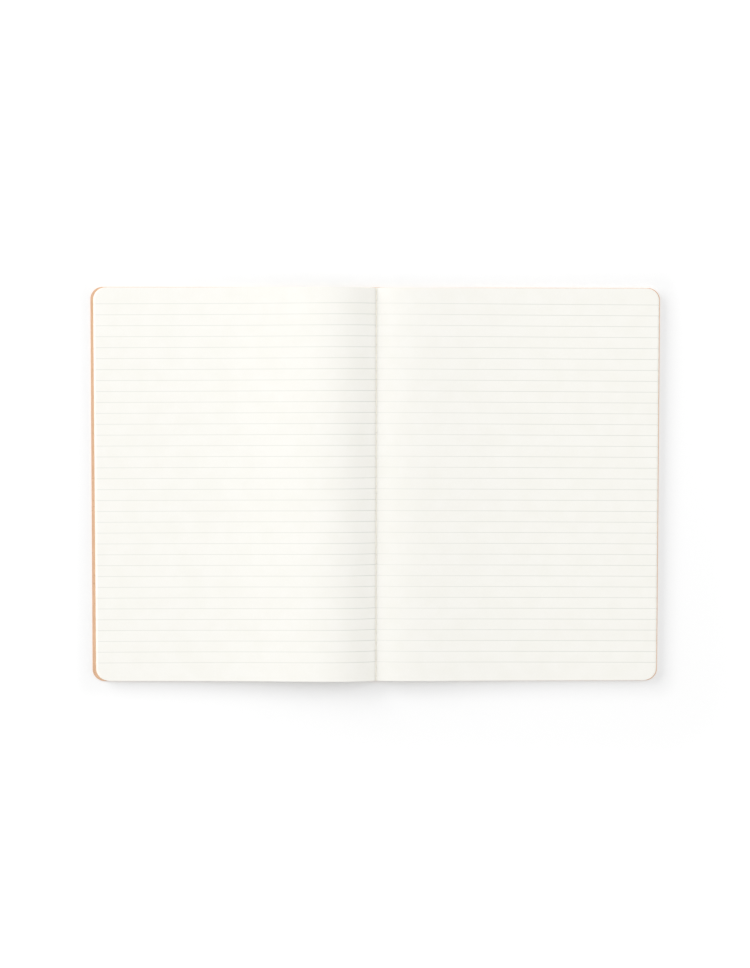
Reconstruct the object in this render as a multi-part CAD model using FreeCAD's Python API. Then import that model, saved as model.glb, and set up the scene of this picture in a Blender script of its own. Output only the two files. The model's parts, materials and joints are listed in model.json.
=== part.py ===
import FreeCAD
import Part
import math
import os

# Open composition notebook: one section of folded sheets, machine-sewn into a folded card cover
# and opened in the middle. X runs across the spread (left page at -X), Y runs up the page, Z is up.
# The origin is the centre of the footprint, on the surface that the notebook lies on.
# The pieces are drawn about the sewn line and moved to the origin when they are written.

# Driving dimensions, in millimetres

# Cover sheet, measured from the sewn line
cover_height = 247.6
front_half = 178.7
back_half = 178.1
card = 0.4
cover_corner = 7.6

# Leaves: folded sheets nested in one section
sheet_count = 15
sheet = 0.1
left_leaf = 176.0       # innermost sheet, sewn line to fore-edge, laid flat
right_leaf = 176.8
creep = 1.0             # how far the outermost sheet reaches past the innermost one
head_margin = 0.3       # cover beyond the leaves at head and tail
leaf_corner = 7.6
left_taper = 0.5        # how much further in the left fore-edge lies at the tail than at the head

# Form of the open pages
ridge = 0.8             # how high the sewn fold stands above the resting surface
ridge_ease = 30.0       # distance over which the pages come down from that ridge
left_bulge = 4.4
left_crest = 28.0       # distance of the bulge's crest from the sewn line
right_bulge = 1.9
right_crest = 23.0

# Hinges: where the card bends when a cover swings
hinge_gap = 0.1

# Lockstitch through the fold
thread = 0.5
stitch_pitch = 5.5
end_margin = 1.5        # least distance from a needle hole to the end of the leaves
strand_gap = 0.1        # between the two strands in one hole
hole_clearance = 0.15
sewn_margin = 0.1       # flat part of the fold beyond the needle holes, pressed by the stitches
lock_gap = 0.05         # between the two threads where they lock inside the fold
section_sides = 6       # flat sides of a strand or needle hole, which keeps the many stitches light

# Worked out from the driving dimensions
stack = sheet_count * sheet
leaf_height = cover_height - 2 * head_margin
fold_bottom = ridge + card
fold_top = fold_bottom + stack
fore_edge_top = card + stack
closed_thickness = 2 * fore_edge_top
hinge_x = math.pi / 4 * closed_thickness
sewn_x = (front_half - back_half) / 2

strand_offset = (thread + strand_gap) / 2
needle_hole = 2 * thread + strand_gap + 2 * hole_clearance
sewn_half = needle_hole / 2 / math.cos(math.pi / section_sides) + sewn_margin

spine_edge = hinge_x - card / 2 - hinge_gap
flank_angle = math.atan2(ridge, spine_edge - sewn_half)
mitre = card * math.tan(flank_angle / 2)
holes_each_side = int((leaf_height / 2 - end_margin) / stitch_pitch)
lock_z = (ridge + fold_top) / 2

# Steps used to draw the page curve and to measure along it
curve_points = 14
measure_steps = 400


def page_top(distance, bulge, crest):
    """Height of the top page at a distance from the sewn line, flat where it is sewn."""
    run = max(distance - sewn_half, 0)
    settled = fore_edge_top + ridge * math.exp(-run / ridge_ease)
    return settled + bulge * (run / crest) * math.exp(1 - run / crest)


def laid_reach(leaf, bulge, crest):
    """How far the top leaf reaches sideways when it lies along the page curve."""
    step = leaf / measure_steps
    reach = 0.0
    for index in range(measure_steps):
        rise = page_top((index + 1) * step, bulge, crest) - page_top(index * step, bulge, crest)
        reach += math.sqrt(step ** 2 - rise ** 2)
    return reach


def page_curve(side, leaf, bulge, crest):
    """Top page in the XZ plane, from the sewn flat to past the fore-edge; points crowd at the fold."""
    points = []
    for index in range(curve_points + 1):
        distance = sewn_half + (leaf + creep - sewn_half) * (index / curve_points) ** 2
        points.append(FreeCAD.Vector(side * distance, 0, page_top(distance, bulge, crest)))
    curve = Part.BSplineCurve()
    curve.interpolate(points)
    return curve.toShape(), points[0], points[-1]


def extrude_along_page(wire, length):
    """Solid from a closed XZ outline, centred on Y = 0."""
    solid = Part.Face(wire).extrude(FreeCAD.Vector(0, length, 0))
    solid.translate(FreeCAD.Vector(0, -length / 2, 0))
    return solid


def leaf_outline(left_reach, right_reach, height, z):
    """Rounded outline of a spread, as one closed wire at height z."""
    low = -height / 2
    high = height / 2
    inset = leaf_corner
    corners = [
        (-left_reach + left_taper + inset, low + inset, 180),
        (right_reach - inset, low + inset, 270),
        (right_reach - inset, high - inset, 0),
        (-left_reach + inset, high - inset, 90),
    ]
    arcs = []
    for x, y, start in corners:
        centre = FreeCAD.Vector(x, y, z)
        circle = Part.Circle(centre, FreeCAD.Vector(0, 0, 1), leaf_corner)
        arcs.append(circle.toShape(math.radians(start), math.radians(start + 90)))
    edges = []
    for index, arc in enumerate(arcs):
        following = arcs[(index + 1) % len(arcs)]
        edges.append(arc)
        edges.append(Part.LineSegment(arc.lastVertex().Point, following.firstVertex().Point).toShape())
    return Part.Wire(edges)


def fore_edge_envelope():
    """Solid that holds the leaves' slanted fore-edges and round corners, up past the crest."""
    left_low = left_leaf + creep
    right_low = right_leaf + creep
    levels = (fold_top + max(left_bulge, right_bulge)) / stack
    left_high = left_low - (left_low - laid_reach(left_leaf, left_bulge, left_crest)) * levels
    right_high = right_low - (right_low - laid_reach(right_leaf, right_bulge, right_crest)) * levels
    bottom = leaf_outline(left_low, right_low, leaf_height, card)
    top = leaf_outline(left_high, right_high, leaf_height, card + levels * stack)
    return Part.makeLoft([bottom, top], True, True)


def regular_section(width, z):
    """Regular polygon across the Z axis, width between its flat sides."""
    radius = width / 2 / math.cos(math.pi / section_sides)
    points = []
    for index in range(section_sides + 1):
        angle = 2 * math.pi * (index + 0.5) / section_sides
        points.append(FreeCAD.Vector(radius * math.sin(angle), radius * math.cos(angle), z))
    return Part.makePolygon(points)


def needle_holes(bottom_z, top_z):
    """Prisms for every needle hole along the fold."""
    prisms = []
    for index in range(-holes_each_side, holes_each_side + 1):
        prism = Part.Face(regular_section(needle_hole, bottom_z))
        prism = prism.extrude(FreeCAD.Vector(0, 0, top_z - bottom_z))
        prism.translate(FreeCAD.Vector(0, index * stitch_pitch, 0))
        prisms.append(prism)
    return Part.makeCompound(prisms)


def stitch_row(run_z, lock_end_z, length):
    """Stitches from hole to hole, each bent into the holes at both ends; the row is cut off at length."""
    bend = thread / 2
    drop = math.copysign(bend, run_z - lock_end_z)
    near = strand_offset
    far = stitch_pitch - strand_offset
    path = Part.makePolygon([
        FreeCAD.Vector(0, near, lock_end_z),
        FreeCAD.Vector(0, near, run_z - drop),
        FreeCAD.Vector(0, near + bend, run_z),
        FreeCAD.Vector(0, far - bend, run_z),
        FreeCAD.Vector(0, far, run_z - drop),
        FreeCAD.Vector(0, far, lock_end_z),
    ])
    section = regular_section(thread, lock_end_z)
    section.translate(FreeCAD.Vector(0, near, 0))
    stitch = path.makePipeShell([section], True, False, 1)
    reach = FreeCAD.Vector(2 * thread, length, 2 * (fold_top + thread))
    kept = Part.makeBox(reach.x, reach.y, reach.z, FreeCAD.Vector(-thread, -length / 2, -reach.z / 2))
    row = []
    for index in range(-holes_each_side - 1, holes_each_side + 1):
        copy = stitch.copy()
        copy.translate(FreeCAD.Vector(0, index * stitch_pitch, 0))
        past_last_hole = abs(index + 0.5) > holes_each_side
        if past_last_hole:
            copy = copy.common(kept).Solids[0]
        row.append(copy)
    return Part.makeCompound(row)


def page_block():
    """The folded sheets as one solid: flat below, seated over the spine, bulged above."""
    left_edge, left_start, left_end = page_curve(-1, left_leaf, left_bulge, left_crest)
    right_edge, right_start, right_end = page_curve(1, right_leaf, right_bulge, right_crest)
    underside = Part.makePolygon([
        right_end,
        FreeCAD.Vector(right_end.x, 0, card),
        FreeCAD.Vector(spine_edge + mitre, 0, card),
        FreeCAD.Vector(sewn_half + mitre, 0, fold_bottom),
        FreeCAD.Vector(-sewn_half - mitre, 0, fold_bottom),
        FreeCAD.Vector(-spine_edge - mitre, 0, card),
        FreeCAD.Vector(left_end.x, 0, card),
        left_end,
    ])
    sewn_flat = Part.LineSegment(left_start, right_start).toShape()
    outline = Part.Wire(Part.__sortEdges__([left_edge, sewn_flat, right_edge] + underside.Edges))
    block = extrude_along_page(outline, leaf_height).common(fore_edge_envelope())
    return block.cut(needle_holes(0, fold_top + ridge))


def spine():
    """Strip of the cover between its two bends, raised to a flat-topped ridge where it is sewn."""
    edge_top = card + mitre * math.tan(flank_angle)
    outline = Part.makePolygon([
        FreeCAD.Vector(-spine_edge, 0, 0),
        FreeCAD.Vector(-sewn_half, 0, ridge),
        FreeCAD.Vector(sewn_half, 0, ridge),
        FreeCAD.Vector(spine_edge, 0, 0),
        FreeCAD.Vector(spine_edge, 0, edge_top),
        FreeCAD.Vector(sewn_half + mitre, 0, fold_bottom),
        FreeCAD.Vector(-sewn_half - mitre, 0, fold_bottom),
        FreeCAD.Vector(-spine_edge, 0, edge_top),
        FreeCAD.Vector(-spine_edge, 0, 0),
    ])
    return extrude_along_page(outline, cover_height).cut(needle_holes(0, fold_top))


def cover_leaf(side, reach):
    """One cover: flat card with round corners, and a half-round edge about its hinge line."""
    hinge_top = FreeCAD.Vector(side * hinge_x, 0, card)
    hinge_bottom = FreeCAD.Vector(side * hinge_x, 0, 0)
    hinge_nose = FreeCAD.Vector(side * (hinge_x - card / 2), 0, card / 2)
    fore_top = FreeCAD.Vector(side * reach, 0, card)
    fore_bottom = FreeCAD.Vector(side * reach, 0, 0)
    outline = Part.Wire([
        Part.LineSegment(hinge_top, fore_top).toShape(),
        Part.LineSegment(fore_top, fore_bottom).toShape(),
        Part.LineSegment(fore_bottom, hinge_bottom).toShape(),
        Part.Arc(hinge_bottom, hinge_nose, hinge_top).toShape(),
    ])
    leaf = extrude_along_page(outline, cover_height)
    upright = []
    for edge in leaf.Edges:
        ends = [vertex.Point for vertex in edge.Vertexes]
        at_fore_edge = all(abs(end.x - side * reach) < card / 2 for end in ends)
        if at_fore_edge and abs(ends[0].z - ends[-1].z) > card / 2:
            upright.append(edge)
    return leaf.makeFillet(cover_corner, upright)


def inner_thread():
    """Thread on the inside of the fold, between the open pages."""
    return stitch_row(fold_top + thread / 2, lock_z + lock_gap / 2, leaf_height)


def outer_thread():
    """Thread on the outside of the fold, under the ridge of the spine."""
    return stitch_row(ridge - thread / 2, lock_z - lock_gap / 2, cover_height)


def write_pieces():
    pieces = {
        "page_block": page_block(),
        "spine": spine(),
        "front_cover": cover_leaf(-1, front_half),
        "back_cover": cover_leaf(1, back_half),
        "inner_thread": inner_thread(),
        "outer_thread": outer_thread(),
    }
    os.makedirs("parts", exist_ok=True)
    for name, shape in pieces.items():
        shape.translate(FreeCAD.Vector(sewn_x, 0, 0))
        shape.exportStep(os.path.join("parts", name + ".step"))
        print(name, len(shape.Solids), "solids", round(shape.Volume, 1), "mm3", shape.isValid())


write_pieces()
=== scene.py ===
import json
import math
import random

import bpy
from mathutils import Euler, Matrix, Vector


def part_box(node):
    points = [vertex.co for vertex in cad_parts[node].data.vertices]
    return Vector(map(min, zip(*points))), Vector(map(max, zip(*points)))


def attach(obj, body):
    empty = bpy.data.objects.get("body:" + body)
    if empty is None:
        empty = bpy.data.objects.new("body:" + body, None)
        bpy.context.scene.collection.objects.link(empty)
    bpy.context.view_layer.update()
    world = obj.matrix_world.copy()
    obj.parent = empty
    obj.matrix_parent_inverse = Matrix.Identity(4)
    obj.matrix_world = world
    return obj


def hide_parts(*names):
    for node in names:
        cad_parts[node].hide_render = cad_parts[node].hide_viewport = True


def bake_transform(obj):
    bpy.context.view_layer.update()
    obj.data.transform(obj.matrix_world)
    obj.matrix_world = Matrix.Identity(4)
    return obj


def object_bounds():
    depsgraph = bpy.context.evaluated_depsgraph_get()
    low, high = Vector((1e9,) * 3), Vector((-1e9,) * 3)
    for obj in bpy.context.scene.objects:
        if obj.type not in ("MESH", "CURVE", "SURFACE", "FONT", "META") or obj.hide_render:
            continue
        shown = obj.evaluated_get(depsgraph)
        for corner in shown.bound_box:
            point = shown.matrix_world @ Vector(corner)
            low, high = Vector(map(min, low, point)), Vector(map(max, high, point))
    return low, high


# Looks of the open composition notebook: fifteen folded sheets, a folded card cover and the two
# sewing threads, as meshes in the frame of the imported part. Lengths are in metres.

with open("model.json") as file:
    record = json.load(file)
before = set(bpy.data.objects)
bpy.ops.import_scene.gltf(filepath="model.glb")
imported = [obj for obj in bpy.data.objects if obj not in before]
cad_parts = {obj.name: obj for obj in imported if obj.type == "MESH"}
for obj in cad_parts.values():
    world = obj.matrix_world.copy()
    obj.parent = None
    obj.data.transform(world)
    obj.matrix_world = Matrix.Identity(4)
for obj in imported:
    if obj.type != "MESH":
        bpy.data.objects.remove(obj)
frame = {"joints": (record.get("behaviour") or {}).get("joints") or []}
cad_low, cad_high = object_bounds()
rng = random.Random(15)
mm = 0.001

# Sizes read from the frame
hinge_at = {joint["name"]: Vector(joint["pos_m"]) for joint in frame["joints"]}
front_hinge = hinge_at["front_cover_fold"]
back_hinge = hinge_at["back_cover_fold"]
sewn_x = (front_hinge.x + back_hinge.x) / 2
hinge_reach = (back_hinge.x - front_hinge.x) / 2
front_low, front_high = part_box("front_cover")
_, back_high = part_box("back_cover")
pages_low, pages_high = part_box("page_block")
_, spine_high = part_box("spine")
inner_low, inner_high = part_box("inner_thread")
_, outer_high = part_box("outer_thread")
card = front_high.z
cover_height = front_high.y - front_low.y
leaf_height = pages_high.y - pages_low.y
ridge = spine_high.z - card
cover_reach = {-1: sewn_x - front_low.x, 1: back_high.x - sewn_x}
outer_leaf = {-1: sewn_x - pages_low.x, 1: pages_high.x - sewn_x}

# Sheets and their form
sheet_count = 15
creep = 1.0 * mm                # how much shorter a leaf of the top sheet is than one of the lowest
corner = 7.6 * mm               # radius of the round outer corners
left_taper = 0.5 * mm           # how much further in the left fore-edge lies at the tail
thread = 0.5 * mm
fold_top = inner_high.z - thread
stack = fold_top - spine_high.z
sheet = stack / sheet_count
paper_share = 0.86              # of a sheet's share of the stack; the rest is the gap to the next one
bulge = {-1: 4.4 * mm, 1: 1.9 * mm}      # height of the top page's bulge, left and right of the fold
crest = {-1: 28.0 * mm, 1: 23.0 * mm}    # how far from the fold it is highest
top_ease = 30.0 * mm            # how gently the top sheet comes down from the sewn fold
bottom_ease = 2.0 * mm          # the same for the sheet that lies on the cover
sewn_half = 0.91 * mm           # half the width of the fold that the stitches hold level
laid_step = 0.4 * mm            # step along a sheet's curve when its length is laid out
bottom_bulge = 0.04             # share of the bulge that the lowest sheet keeps
cling = 0.75                    # unevenness of the gaps between the sheets, from 0 to 1

# Sewing
stitch_pitch = 5.5 * mm
end_margin = 1.5 * mm
holes_each_side = int((leaf_height / 2 - end_margin) / stitch_pitch)
hole_half_x = 0.27 * mm
hole_half_y = 0.53 * mm
hole_core = 0.5                 # share of a hole's size within which the mesh stays on its plain grid
hole_reach = 2.4                # how many hole sizes away the mesh is back on its plain grid
hole_fade = 0.7                 # below 1, most of the way back lies near the hole
pull = 0.06 * mm                # how far the stitches pull the fold down at a hole
pull_reach = 0.9 * mm
pressed_width = 0.34 * mm       # half the width of a stitch where it lies pressed flat on the fold
pressed_height = 0.15 * mm      # half its height there
press_length = 0.7 * mm         # over which a strand turns from round to flat
groove = pressed_height         # how deep a stitch lies in the top sheet
groove_reach = 0.38 * mm
groove_edge = 4                 # how steep the groove's sides are
strand_offset = 0.26 * mm       # how far a strand lies from the centre of its hole
strand_bend = 0.25 * mm         # radius of its bend out of the hole
lock_z = (inner_low.z + outer_high.z) / 2    # height at which the two threads lock in a hole
ply_count = 3
ply_groove = 0.14               # depth of the grooves between the plies, as a share of the strand's size
ply_edge = 0.7                  # below 1 for full plies with narrow grooves between them
ply_turn = 1.9 * mm             # length of one turn of the twist
stitch_drift = 0.03 * mm        # how far a stitch may sway sideways

# Meshes: a strip along the fold, its columns measured from the sewn line and its rows from each
# needle hole, and beside the strip a grid for each leaf
strip_reach = 1.6 * mm
leaf_start = 2.0 * mm
half_stitch = stitch_pitch / 2
fine_columns = [
    0.0, 0.1 * mm, 0.19 * mm, hole_half_x, 0.35 * mm,
    0.43 * mm, 0.62 * mm, 0.9 * mm, 1.25 * mm, strip_reach,
]
fine_rows = [
    0.0, 0.2 * mm, 0.38 * mm, hole_half_y, 0.75 * mm,
    1.05 * mm, 1.5 * mm, 2.1 * mm, half_stitch,
]
plain_columns = [0.0, hole_half_x, 0.43 * mm, 0.8 * mm, strip_reach]
plain_rows = [0.0, 0.27 * mm, hole_half_y, 1.2 * mm, half_stitch]
leaf_columns = 40
leaf_crowding = 1.7             # above 1 for columns that are closer at the fold than at the fore-edge
row_step = 6.0 * mm
arc_steps = 10
hinge_columns = 18
hinge_bend = 1.0 * mm           # half the width of the card that bends at a hinge
hinge_margin = 1.2              # how many times that the close columns reach past the hinge
flank_ease = 0.3                # how gently the card turns onto the ridge's flank and off it
ring_sides = 15
ring_step = 0.14 * mm
strand_steps = 6
sharp_angle = math.radians(40)

# Ruling of the leaves
rule_count = 34
first_rule = 113.42 * mm        # above the middle of the page, at lean_centre from the fold
rule_pitch = 6.827 * mm
rule_half = 0.15 * mm
rule_soft = 0.1 * mm
rule_lean = 0.0043              # the rules rise towards the fold by this slope
lean_centre = 109.0 * mm
print_drift = 0.7 * mm          # how far the print of a lower sheet may sit off the top sheet's
ink_left_painted_shade = (-45.0 * mm, -5.0 * mm, 0.55, 0.9)    # two places across the spread and the rules' strength there; the rise towards the fold on the left page is painted shade, where the page turns down into the fold away from the lamps
# Painted light: on the right page the rules are faint near the fold, where the page rises towards the
# lamps, and stronger farther out.
ink_right_painted_light = (5.0 * mm, 90.0 * mm, 0.35, 0.75)

# Colours, in 8-bit sRGB
paper_light = (249, 248, 243)
paper_warm = (247, 246, 240)
paper_fibre = (242, 239, 229)
ink_tone = (203, 207, 200)
card_light = (229, 190, 159)
card_warm = (221, 181, 149)
card_fibre = (205, 162, 128)
card_fleck = (176, 132, 96)
thread_light = (252, 249, 240)
thread_warm = (246, 240, 223)

# Studio
white = (1.0, 1.0, 1.0, 1.0)
floor_size = 24.0
floor_white = 0.945
floor_glow = 0.01               # seen by the camera alone
painted_light_glow = 0.06               # the same farther from the notebook's outline: painted light that lifts the outer part of the notebook's shadow
painted_light_start = 3.0 * mm          # beyond the outline of the notebook
painted_light_end = 16.0 * mm
fade_start = 30.0 * mm          # from here the floor turns to the plain white of the backdrop
fade_end = 300.0 * mm
world_light = 0.66
overhead_share = 0.14           # share of the light on a flat page
overhead_at = Vector((-0.3, 0.9, 1.6))
overhead_size = 1.4
panel_away = 3.6
panel_width = 4.6
panel_low = 0.05
panel_high = 1.35
panels = [("main_panel", 155.0, 0.21), ("counter_panel", 0.0, 0.075)]    # name, heading, share

# Camera, fitted to the outline and the ruling in the photograph
camera_lens = 59.12
camera_sensor = 36.0
camera_at = Vector((-14.98, 40.26, 1000.0)) * mm
camera_turn = Euler([math.radians(angle) for angle in (-2.270, -0.833, 0.059)], "XYZ")


def eased_ramp(value, ease):
    """0 below -ease, value above ease, and a smooth curve between them."""
    if value <= -ease:
        return 0.0
    if value >= ease:
        return value
    return (value + ease) ** 2 / (4 * ease)


def card_lift(distance):
    """Height of the cover's outer face above the floor at a distance from the sewn line."""
    flank = hinge_reach - card / 2 - sewn_half
    along = (distance - sewn_half) / flank
    return ridge * (1 - eased_ramp(along, flank_ease) + eased_ramp(along - 1, flank_ease))


def bulge_shares():
    """Share of the bulge that each sheet takes, top first: uneven steps from 1 to the bottom's share."""
    steps = [1 + cling * rng.uniform(-1, 1) for _ in range(sheet_count - 1)]
    shares = [1.0]
    for step in steps:
        shares.append(shares[-1] - step / sum(steps) * (1 - bottom_bulge))
    return shares


shares = bulge_shares()


def sheet_top(index, side, distance):
    """Height of a sheet's upper face at a distance from the sewn line, before the stitches' pull."""
    run = max(distance - sewn_half, 0.0)
    depth = index / (sheet_count - 1)
    ease = top_ease * (bottom_ease / top_ease) ** depth
    settled = card + (sheet_count - index) * sheet + ridge * math.exp(-run / ease)
    hump = run / crest[side] * math.exp(1 - run / crest[side])
    return settled + bulge[side] * shares[index] * hump


def laid_reach(index, side):
    """How far a sheet reaches sideways when its flat length lies along its curve."""
    length = outer_leaf[side] - creep * (1 - index / (sheet_count - 1))
    distance = 0.0
    laid = 0.0
    while laid < length:
        rise = sheet_top(index, side, distance + laid_step) - sheet_top(index, side, distance)
        laid += math.hypot(laid_step, rise)
        distance += laid_step
    return distance - (laid - length)


def hole_centres():
    return [index * stitch_pitch for index in range(-holes_each_side, holes_each_side + 1)]


def nearest_hole(y):
    index = max(-holes_each_side, min(holes_each_side, round(y / stitch_pitch)))
    return index * stitch_pitch


def stitch_pull(distance, y):
    """How far the stitches press the fold down along the thread, and a little more at a needle hole."""
    away = math.hypot(distance, y - nearest_hole(y)) / pull_reach
    return groove * math.exp(-(distance / groove_reach) ** groove_edge) + pull * math.exp(-away ** 2)


def strip_rows(offsets, height):
    """Row positions along the fold: the same few rows about every needle hole, and both ends."""
    rows = {-height / 2, height / 2}
    for centre in hole_centres():
        for offset in offsets:
            for row in (centre - offset, centre + offset):
                rows.add(round(row, 7))
    limit = height / 2
    return sorted(row for row in rows if abs(row) <= limit)


def around_hole(distance, y):
    """Moves a grid point near a needle hole so that the hole's edge becomes an ellipse."""
    centre = nearest_hole(y)
    across = distance / hole_half_x
    along = (y - centre) / hole_half_y
    square = max(abs(across), abs(along))
    if square < hole_core or square >= hole_reach:
        return distance, y
    rounded = square / math.hypot(across, along)
    fade = max(0.0, (square - 1) / (hole_reach - 1))
    scale = rounded + (1 - rounded) * fade ** hole_fade
    return distance * scale, centre + (y - centre) * scale


def in_hole(distance, y):
    return abs(distance) < hole_half_x and abs(y - nearest_hole(y)) < hole_half_y


def leaf_rows(height):
    """Row positions along a leaf's grid, close together at its round corners."""
    straight = height / 2 - corner
    count = round(2 * straight / row_step)
    rows = [-straight + 2 * straight * index / count for index in range(count + 1)]
    arc = [straight + corner * math.sin(math.pi / 2 * step / arc_steps) for step in range(1, arc_steps + 1)]
    return [-row for row in reversed(arc)] + rows + arc


def corner_reach(reach, height, y):
    """Reach of a leaf at height y of the page, shortened by its round corners."""
    into = abs(y) - (height / 2 - corner)
    if into <= 0:
        return reach
    return reach - corner + math.sqrt(max(corner ** 2 - into ** 2, 0.0))


def tail_share(height, y):
    """0 at the head's corner of a leaf, 1 at the tail's corner, and an even slope between them."""
    straight = height / 2 - corner
    return max(0.0, min(1.0, (straight - y) / (2 * straight)))


def zipped(points, left, right):
    """Triangles that join two columns of points with different rows."""
    faces = []
    low = 0
    high = 0
    while low < len(left) - 1 or high < len(right) - 1:
        left_moves = high == len(right) - 1
        if not left_moves and low < len(left) - 1:
            left_moves = points[left[low + 1]][1] <= points[right[high + 1]][1]
        if left_moves:
            faces.append((left[low], right[high], left[low + 1]))
            low += 1
        else:
            faces.append((left[low], right[high], right[high + 1]))
            high += 1
    return faces


def add_grid(points, faces, columns, rows, place, skip=None):
    """Adds a grid of points and its faces, and returns its first and last columns."""
    first = len(points)
    width = len(columns)
    for row in rows:
        for column in columns:
            points.append(place(column, row))
    for r in range(len(rows) - 1):
        for c in range(width - 1):
            middle_x = (columns[c] + columns[c + 1]) / 2
            middle_y = (rows[r] + rows[r + 1]) / 2
            if skip and skip(middle_x, middle_y):
                continue
            base = first + r * width + c
            faces.append((base, base + 1, base + width + 1, base + width))
    left = [first + r * width for r in range(len(rows))]
    right = [index + width - 1 for index in left]
    return left, right


def sheet_layout(sides, reach, height, columns, rows, leaf_steps, taper=0.0):
    """Flat layout of a sheet about the sewn line, as points (distance, y) and faces."""
    points = []
    faces = []
    across = set()
    for side in sides:
        across.update(side * column for column in columns)
    left, right = add_grid(points, faces, sorted(across), strip_rows(rows, height), around_hole, in_hole)
    for side in sides:
        def place(share, y, side=side):
            end = corner_reach(reach[side], height, y)
            if side < 0:
                end -= taper * tail_share(height, y)
            return side * (leaf_start + (end - leaf_start) * abs(share)), y

        shares_across = sorted(side * step for step in leaf_steps)
        inner, outer = add_grid(points, faces, shares_across, leaf_rows(height), place)
        if side > 0:
            faces.extend(zipped(points, right, inner))
        else:
            faces.extend(zipped(points, outer, left))
    return points, faces


def thick_mesh(name, points, faces, top, bottom):
    """Closed mesh between two faces over one layout, with walls along its edges and holes."""
    used = sorted({index for face in faces for index in face})
    number = {index: place for place, index in enumerate(used)}
    count = len(used)
    vertices = [top(*points[index]) for index in used] + [bottom(*points[index]) for index in used]
    upper = [tuple(number[index] for index in face) for face in faces]
    lower = [tuple(index + count for index in reversed(face)) for face in upper]
    edges = {(face[i], face[(i + 1) % len(face)]) for face in upper for i in range(len(face))}
    walls = [(a + count, b + count, b, a) for a, b in sorted(edges) if (b, a) not in edges]
    mesh = bpy.data.meshes.new(name)
    mesh.from_pydata(vertices, [], upper + lower + walls)
    return finished(name, mesh)


def finished(name, mesh):
    """Object with smooth faces and sharp rims."""
    mesh.validate()
    mesh.shade_smooth()
    mesh.set_sharp_from_angle(angle=sharp_angle)
    piece = bpy.data.objects.new(name, mesh)
    bpy.context.scene.collection.objects.link(piece)
    return piece


def folded_sheet(index):
    """One folded sheet of the section, both leaves; index 0 is the innermost, on top."""
    reach = {side: laid_reach(index, side) for side in (-1, 1)}
    fine = index == 0
    steps = [(step / leaf_columns) ** leaf_crowding for step in range(leaf_columns + 1)]
    points, faces = sheet_layout(
        (-1, 1), reach, leaf_height,
        fine_columns if fine else plain_columns,
        fine_rows if fine else plain_rows,
        steps, left_taper,
    )
    depth = 1 - index / sheet_count

    def top(distance, y):
        side = -1 if distance < 0 else 1
        height = sheet_top(index, side, abs(distance)) - depth * stitch_pull(distance, y)
        return sewn_x + distance, y, height

    def bottom(distance, y):
        x, y, height = top(distance, y)
        return x, y, height - paper_share * sheet

    return thick_mesh(f"sheet_{index + 1:02d}", points, faces, top, bottom)


def card_half(name, side):
    """Half of the folded cover, from the sewn line over the ridge's flank to its fore-edge."""
    reach = cover_reach[side]
    bend_end = hinge_reach + hinge_bend * hinge_margin
    bend_share = (bend_end - leaf_start) / (reach - leaf_start)
    steps = [bend_share * step / hinge_columns for step in range(hinge_columns)]
    wide = leaf_columns // 2
    steps += [bend_share + (1 - bend_share) * (step / wide) ** leaf_crowding for step in range(wide + 1)]
    points, faces = sheet_layout((side,), cover_reach, cover_height, fine_columns, fine_rows, steps)

    def bottom(distance, y):
        return sewn_x + distance, y, card_lift(abs(distance))

    def top(distance, y):
        return sewn_x + distance, y, card_lift(abs(distance)) + card

    return thick_mesh(name, points, faces, top, bottom)


def stitch_line(start_y, run_z, length):
    """Centre line of one stitch, from its lock in one hole over the fold to its lock in the next."""
    drop = math.copysign(strand_bend, run_z - lock_z)
    low = start_y + strand_offset
    high = start_y + stitch_pitch - strand_offset
    line = [(low, lock_z), (low, (lock_z + run_z - drop) / 2)]
    for step in range(strand_steps + 1):
        angle = math.pi / 2 * step / strand_steps
        rise = drop * (1 - math.sin(angle))
        line.append((low + strand_bend * (1 - math.cos(angle)), run_z - rise))
    flat = high - low - 2 * strand_bend
    count = round(flat / ring_step)
    for step in range(1, count):
        line.append((low + strand_bend + flat * step / count, run_z))
    for step in range(strand_steps, -1, -1):
        angle = math.pi / 2 * step / strand_steps
        rise = drop * (1 - math.sin(angle))
        line.append((high - strand_bend * (1 - math.cos(angle)), run_z - rise))
    line += [(high, (lock_z + run_z - drop) / 2), (high, lock_z)]
    return [point for point in line if abs(point[0]) <= length / 2]


def strand_size(y):
    """Half width and half height of a strand: round at the holes and pressed flat between them."""
    bend_end = strand_offset + strand_bend
    press = (abs(y - nearest_hole(y)) - bend_end) / press_length
    press = max(0.0, min(1.0, press))
    press = press * press * (3 - 2 * press)
    wide = thread / 2 + (pressed_width - thread / 2) * press
    high = thread / 2 + (pressed_height - thread / 2) * press
    return wide, high


def twisted_tube(line, shift, turn, vertices, faces):
    """Adds one closed three-ply strand along a line in the YZ plane."""
    first = len(vertices)
    travelled = 0.0
    for index, (y, z) in enumerate(line):
        before = line[max(index - 1, 0)]
        after = line[min(index + 1, len(line) - 1)]
        run = Vector((0, after[0] - before[0], after[1] - before[1])).normalized()
        normal = Vector((1, 0, 0)).cross(run)
        travelled += math.dist((y, z), before)
        sway = shift * math.sin(math.pi * index / (len(line) - 1))
        wide, high = strand_size(y)
        for side in range(ring_sides):
            angle = 2 * math.pi * side / ring_sides
            lobe = abs(math.cos(ply_count / 2 * angle)) ** ply_edge
            share = 1 - ply_groove + ply_groove * lobe
            around = angle + turn + 2 * math.pi * travelled / ply_turn
            offset = Vector((wide, 0, 0)) * math.cos(around) + normal * high * math.sin(around)
            vertices.append(Vector((sewn_x + sway, y, z)) + share * offset)
    rings = len(line)
    for ring in range(rings - 1):
        for side in range(ring_sides):
            base = first + ring * ring_sides
            beside = (side + 1) % ring_sides
            faces.append((base + side, base + side + ring_sides, base + beside + ring_sides, base + beside))
    faces.append(tuple(first + side for side in range(ring_sides)))
    last = first + (rings - 1) * ring_sides
    faces.append(tuple(last + side for side in reversed(range(ring_sides))))


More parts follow.
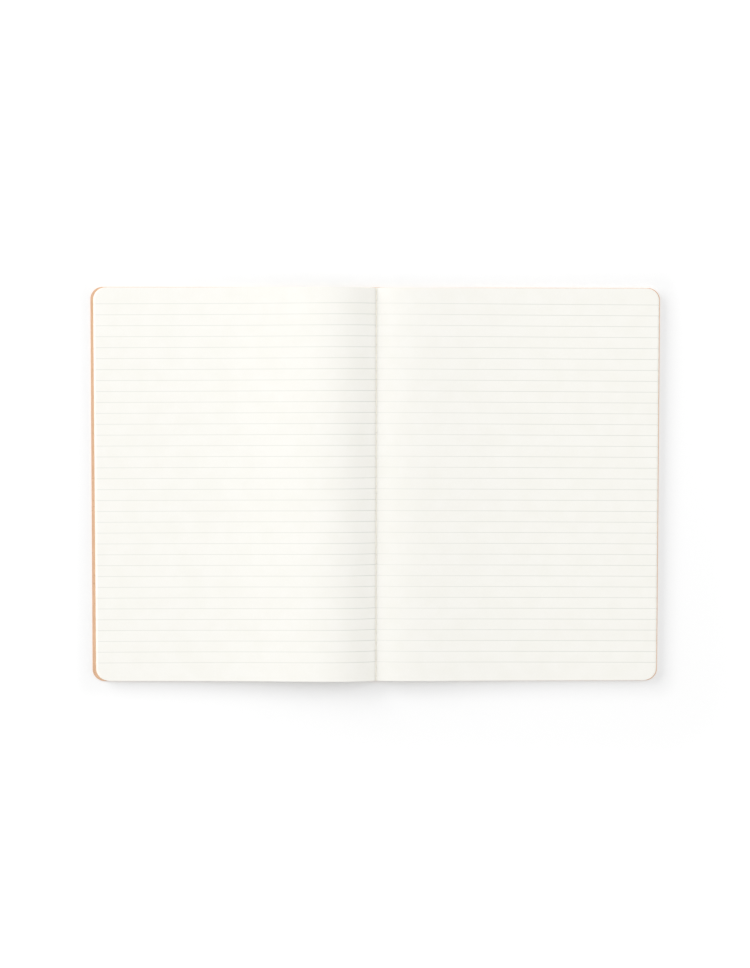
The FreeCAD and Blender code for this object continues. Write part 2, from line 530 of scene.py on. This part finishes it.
def thread_row(name, run_z, length):
    """All the stitches of one thread, from one end of the fold to the other."""
    vertices = []
    faces = []
    for index in range(-holes_each_side - 1, holes_each_side + 1):
        line = stitch_line(index * stitch_pitch, run_z, length)
        shift = rng.uniform(-stitch_drift, stitch_drift)
        twisted_tube(line, shift, rng.uniform(0, 2 * math.pi), vertices, faces)
    mesh = bpy.data.meshes.new(name)
    mesh.from_pydata(vertices, [], faces)
    return finished(name, mesh)


def linear(tone):
    """Linear colour from 8-bit sRGB values."""
    channels = []
    for value in tone:
        share = value / 255
        channels.append(share / 12.92 if share <= 0.04045 else ((share + 0.055) / 1.055) ** 2.4)
    return (*channels, 1.0)


def new_material(name, roughness, specular):
    """Node material and its Principled shader, with the values that are the same all over."""
    material = bpy.data.materials.new(name)
    material.use_nodes = True
    shader = material.node_tree.nodes["Principled BSDF"]
    shader.inputs["Roughness"].default_value = roughness
    shader.inputs["Specular IOR Level"].default_value = specular
    return material, shader


def node(material, kind, inputs=None, **settings):
    """Adds a shader node. An input that is another node's output is linked, and any other is set."""
    made = material.node_tree.nodes.new(kind)
    for name, value in settings.items():
        setattr(made, name, value)
    for name, value in (inputs or {}).items():
        if isinstance(value, bpy.types.NodeSocket):
            material.node_tree.links.new(value, made.inputs[name])
        else:
            made.inputs[name].default_value = value
    return made


def math_node(material, operation, first, second=0.0):
    return node(material, "ShaderNodeMath", {0: first, 1: second}, operation=operation).outputs[0]


def vector_node(material, operation, first, second=(0.0, 0.0, 0.0)):
    inputs = {0: first, 1: second}
    return node(material, "ShaderNodeVectorMath", inputs, operation=operation).outputs["Vector"]


def noise(material, place, scale, detail=3.0, stretch=(1, 1, 1), roughness=0.5):
    """Noise between 0 and 1 over the object's own coordinates, with scale in features per metre."""
    stretched = node(material, "ShaderNodeMapping", {"Vector": place, "Scale": stretch})
    inputs = {"Vector": stretched.outputs[0], "Scale": scale, "Detail": detail, "Roughness": roughness}
    return node(material, "ShaderNodeTexNoise", inputs).outputs["Fac"]


def spread(material, value, low, high, to_low=0.0, to_high=1.0, smooth=False):
    """Value moved from the range between low and high to another range, and kept inside it."""
    kind = "SMOOTHSTEP" if smooth else "LINEAR"
    inputs = {"Value": value, "From Min": low, "From Max": high, "To Min": to_low, "To Max": to_high}
    ranged = node(material, "ShaderNodeMapRange", inputs, interpolation_type=kind, clamp=True)
    return ranged.outputs["Result"]


def mixed(material, share, first, second):
    """Mix of two colours; a mix node has their sockets at 6 and 7 and its colour output at 2."""
    return node(material, "ShaderNodeMix", {0: share, 6: first, 7: second}, data_type="RGBA").outputs[2]


def bumped(material, shader, height, strength, distance):
    bump = node(material, "ShaderNodeBump", {"Height": height, "Strength": strength, "Distance": distance})
    material.node_tree.links.new(bump.outputs[0], shader.inputs["Normal"])


def print_shift(material):
    """How far down a sheet's print sits: nothing for the top sheet, a random bit for each lower one."""
    number = node(material, "ShaderNodeObjectInfo").outputs["Object Index"]
    chance = node(material, "ShaderNodeTexWhiteNoise", {"W": number}, noise_dimensions="1D")
    drift = spread(material, chance.outputs["Value"], 0.0, 1.0, -print_drift, print_drift)
    return math_node(material, "MULTIPLY", drift, math_node(material, "GREATER_THAN", number, 0.5))


def rule_mask(material, x, y):
    """1 on a printed rule and 0 between the rules."""
    away_from_fold = math_node(material, "ABSOLUTE", math_node(material, "SUBTRACT", x, sewn_x))
    lean = math_node(material, "SUBTRACT", lean_centre, away_from_fold)
    lean = math_node(material, "MULTIPLY", lean, rule_lean)
    down = math_node(material, "SUBTRACT", math_node(material, "ADD", lean, first_rule), y)
    down = math_node(material, "SUBTRACT", down, print_shift(material))
    index = math_node(material, "DIVIDE", down, rule_pitch)
    nearest = math_node(material, "ROUND", index)
    away = math_node(material, "ABSOLUTE", math_node(material, "SUBTRACT", index, nearest))
    away = math_node(material, "MULTIPLY", away, rule_pitch)
    line = spread(material, away, rule_half - rule_soft, rule_half + rule_soft, 1.0, 0.0, smooth=True)
    after_first = math_node(material, "GREATER_THAN", nearest, -0.5)
    before_last = math_node(material, "LESS_THAN", nearest, rule_count - 0.5)
    return math_node(material, "MULTIPLY", line, math_node(material, "MULTIPLY", after_first, before_last))


def ink_share_and_painted_shading(material, x):
    """Strength of the printed rules: darkest left of the fold and faint right of it, which is painted shade
    on the left page and painted light on the right page.
    """
    left = spread(material, x, *ink_left_painted_shade)
    right = spread(material, x, *ink_right_painted_light)
    on_right = math_node(material, "GREATER_THAN", x, sewn_x)
    left_part = math_node(material, "MULTIPLY", left, math_node(material, "SUBTRACT", 1.0, on_right))
    return math_node(material, "ADD", left_part, math_node(material, "MULTIPLY", right, on_right))


def paper_material():
    """Off-white paper, softly clouded and fibrous, with its printed rules; their strength near the fold
    carries painted shade on the left page and painted light on the right page.
    """
    material, shader = new_material("ruled_paper", roughness=0.78, specular=0.25)
    place = node(material, "ShaderNodeTexCoord").outputs["Object"]
    cloud = noise(material, place, scale=90, detail=4)
    fibre = noise(material, place, scale=2600, detail=5, stretch=(1, 0.45, 1), roughness=0.65)
    cloud_share = spread(material, cloud, low=0.35, high=0.65)
    fibre_share = spread(material, fibre, low=0.35, high=0.75, to_high=0.35)
    base = mixed(material, cloud_share, linear(paper_light), linear(paper_warm))
    base = mixed(material, fibre_share, base, linear(paper_fibre))
    place_xyz = node(material, "ShaderNodeSeparateXYZ", {0: place})
    x = place_xyz.outputs["X"]
    rules = rule_mask(material, x, place_xyz.outputs["Y"])
    # The rules' strength by the fold is painted shade on the left page and painted light on the right page.
    ink_and_painted_shading = math_node(material, "MULTIPLY", rules, ink_share_and_painted_shading(material, x))
    taken = spread(material, fibre, low=0.3, high=0.7, to_low=1.0, to_high=0.75)
    ink_and_painted_shading = math_node(material, "MULTIPLY", ink_and_painted_shading, taken)
    colour = mixed(material, ink_and_painted_shading, base, linear(ink_tone))
    material.node_tree.links.new(colour, shader.inputs["Base Color"])
    bumped(material, shader, fibre, strength=0.12, distance=0.04 * mm)
    return material


def card_material():
    """Brown card with fibres along the fold and a few dark flecks."""
    material, shader = new_material("kraft_card", roughness=0.82, specular=0.2)
    place = node(material, "ShaderNodeTexCoord").outputs["Object"]
    cloud = noise(material, place, scale=160, detail=4, stretch=(1, 0.6, 1))
    fibre = noise(material, place, scale=1500, detail=5, stretch=(1, 0.25, 1), roughness=0.7)
    fleck = noise(material, place, scale=900, detail=2, stretch=(0.5, 1, 1))
    cloud_share = spread(material, cloud, low=0.3, high=0.7)
    fibre_share = spread(material, fibre, low=0.35, high=0.75, to_high=0.6)
    fleck_share = spread(material, fleck, low=0.66, high=0.74, to_high=0.5)
    base = mixed(material, cloud_share, linear(card_light), linear(card_warm))
    base = mixed(material, fibre_share, base, linear(card_fibre))
    base = mixed(material, fleck_share, base, linear(card_fleck))
    material.node_tree.links.new(base, shader.inputs["Base Color"])
    bumped(material, shader, fibre, strength=0.25, distance=0.08 * mm)
    return material


def thread_material():
    """Cream cotton thread with a slight sheen."""
    material, shader = new_material("cream_thread", roughness=0.7, specular=0.25)
    shader.inputs["Sheen Weight"].default_value = 0.25
    place = node(material, "ShaderNodeTexCoord").outputs["Object"]
    fibre = noise(material, place, scale=9000, detail=3, stretch=(1, 0.3, 1))
    fibre_share = spread(material, fibre, low=0.3, high=0.7)
    base = mixed(material, fibre_share, linear(thread_light), linear(thread_warm))
    material.node_tree.links.new(base, shader.inputs["Base Color"])
    bumped(material, shader, fibre, strength=0.3, distance=0.03 * mm)
    return material


def dress(piece, material):
    piece.data.materials.append(material)


def build_notebook():
    paper = paper_material()
    kraft = card_material()
    cotton = thread_material()
    for index in range(sheet_count):
        leaf = folded_sheet(index)
        leaf.pass_index = index
        dress(leaf, paper)
        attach(leaf, "sewn_pages")
        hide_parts("page_block")
    halves = [
        ("front_card", -1, "front_leaf", "front_cover", front_hinge),
        ("back_card", 1, "back_leaf", "back_cover", back_hinge),
    ]
    for name, side, body, cad_node, hinge in halves:
        half = card_half(name, side)
        dress(half, kraft)
        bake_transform(half)
        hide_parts(cad_node, "spine")
    threads = [
        ("inner_stitches", "inner_thread", fold_top + pressed_height - groove, leaf_height),
        ("outer_stitches", "outer_thread", ridge - pressed_height, cover_height),
    ]
    for name, cad_node, run_z, length in threads:
        stitches = thread_row(name, run_z, length)
        dress(stitches, cotton)
        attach(stitches, "sewn_pages")
        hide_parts(cad_node)


def floor_material():
    """White floor that keeps the shadow; a glow for the camera alone lifts it to the backdrop. The glow
    rises from 3 mm to 16 mm beyond the notebook's outline: painted light that narrows the shadow.
    """
    material, shader = new_material("white_floor", 1.0, 0.0)
    shader.inputs["Base Color"].default_value = (floor_white, floor_white, floor_white, 1.0)
    place = node(material, "ShaderNodeTexCoord").outputs["Object"]
    beyond = vector_node(material, "ABSOLUTE", place)
    beyond = vector_node(material, "SUBTRACT", beyond, (cad_high[0], cad_high[1], 0.0))
    beyond = vector_node(material, "MAXIMUM", beyond, (0.0, 0.0, 0.0))
    away = node(material, "ShaderNodeVectorMath", {0: beyond}, operation="LENGTH").outputs["Value"]
    # Painted light: the glow seen by the camera grows with the distance from the notebook's outline and
    # lifts the outer part of its shadow.
    painted_light = spread(material, away, painted_light_start, painted_light_end, floor_glow, painted_light_glow, smooth=True)
    faded = spread(material, away, fade_start, fade_end, smooth=True)
    glow = math_node(material, "ADD", painted_light, faded)
    paths = node(material, "ShaderNodeLightPath")
    seen_glow = math_node(material, "MULTIPLY", paths.outputs["Is Camera Ray"], glow)
    shader.inputs["Emission Color"].default_value = white
    material.node_tree.links.new(seen_glow, shader.inputs["Emission Strength"])
    return material


def build_floor():
    half = floor_size / 2
    mesh = bpy.data.meshes.new("floor")
    corners = [(-half, -half, 0), (half, -half, 0), (half, half, 0), (-half, half, 0)]
    mesh.from_pydata(corners, [], [(0, 1, 2, 3)])
    floor = bpy.data.objects.new("floor", mesh)
    bpy.context.scene.collection.objects.link(floor)
    mesh.materials.append(floor_material())


def build_world():
    world = bpy.data.worlds.new("studio")
    bpy.context.scene.world = world
    world.use_nodes = True
    tree = world.node_tree
    background = tree.nodes["Background"]
    background.inputs["Color"].default_value = white
    paths = tree.nodes.new("ShaderNodeLightPath")
    seen = tree.nodes.new("ShaderNodeMapRange")
    seen.inputs["To Min"].default_value = world_light
    seen.inputs["To Max"].default_value = 1.0
    tree.links.new(paths.outputs["Is Camera Ray"], seen.inputs["Value"])
    tree.links.new(seen.outputs["Result"], background.inputs["Strength"])


def add_lamp(name, place, power, width, height, aim):
    lamp = bpy.data.lights.new(name, "AREA")
    lamp.energy = power
    lamp.shape = "RECTANGLE"
    lamp.size = width
    lamp.size_y = height
    holder = bpy.data.objects.new(name, lamp)
    bpy.context.scene.collection.objects.link(holder)
    holder.location = place
    holder.rotation_mode = "QUATERNION"
    holder.rotation_quaternion = aim.to_track_quat("-Z", "Y")
    holder.visible_camera = False


def build_lamps():
    """Large soft lamps; a share of 1 lights a flat page as brightly as a white sky of strength 1."""
    power = overhead_share * (math.pi * overhead_at.length) ** 2
    add_lamp("overhead", overhead_at, power, overhead_size, overhead_size, -overhead_at)
    panel_height = panel_high - panel_low
    half_turn = math.atan2(panel_width / 2, panel_away)
    top_turn = math.atan2(panel_high, panel_away)
    low_turn = math.atan2(panel_low, panel_away)
    seen = half_turn * (math.sin(top_turn) ** 2 - math.sin(low_turn) ** 2)
    for name, heading, share in panels:
        turn = math.radians(heading)
        outward = Vector((math.cos(turn), math.sin(turn), 0))
        power = share * math.pi ** 2 * panel_width * panel_height / seen
        panel_at = outward * panel_away + Vector((0, 0, (panel_low + panel_high) / 2))
        add_lamp(name, panel_at, power, panel_width, panel_height, -outward)


def build_camera():
    view = bpy.data.cameras.new("camera")
    view.lens = camera_lens
    view.sensor_width = camera_sensor
    camera = bpy.data.objects.new("camera", view)
    bpy.context.scene.collection.objects.link(camera)
    camera.location = camera_at
    camera.rotation_euler = camera_turn
    bpy.context.scene.camera = camera


build_notebook()
build_floor()
build_world()
build_lamps()
build_camera()
bpy.context.scene.view_settings.view_transform = "Standard"
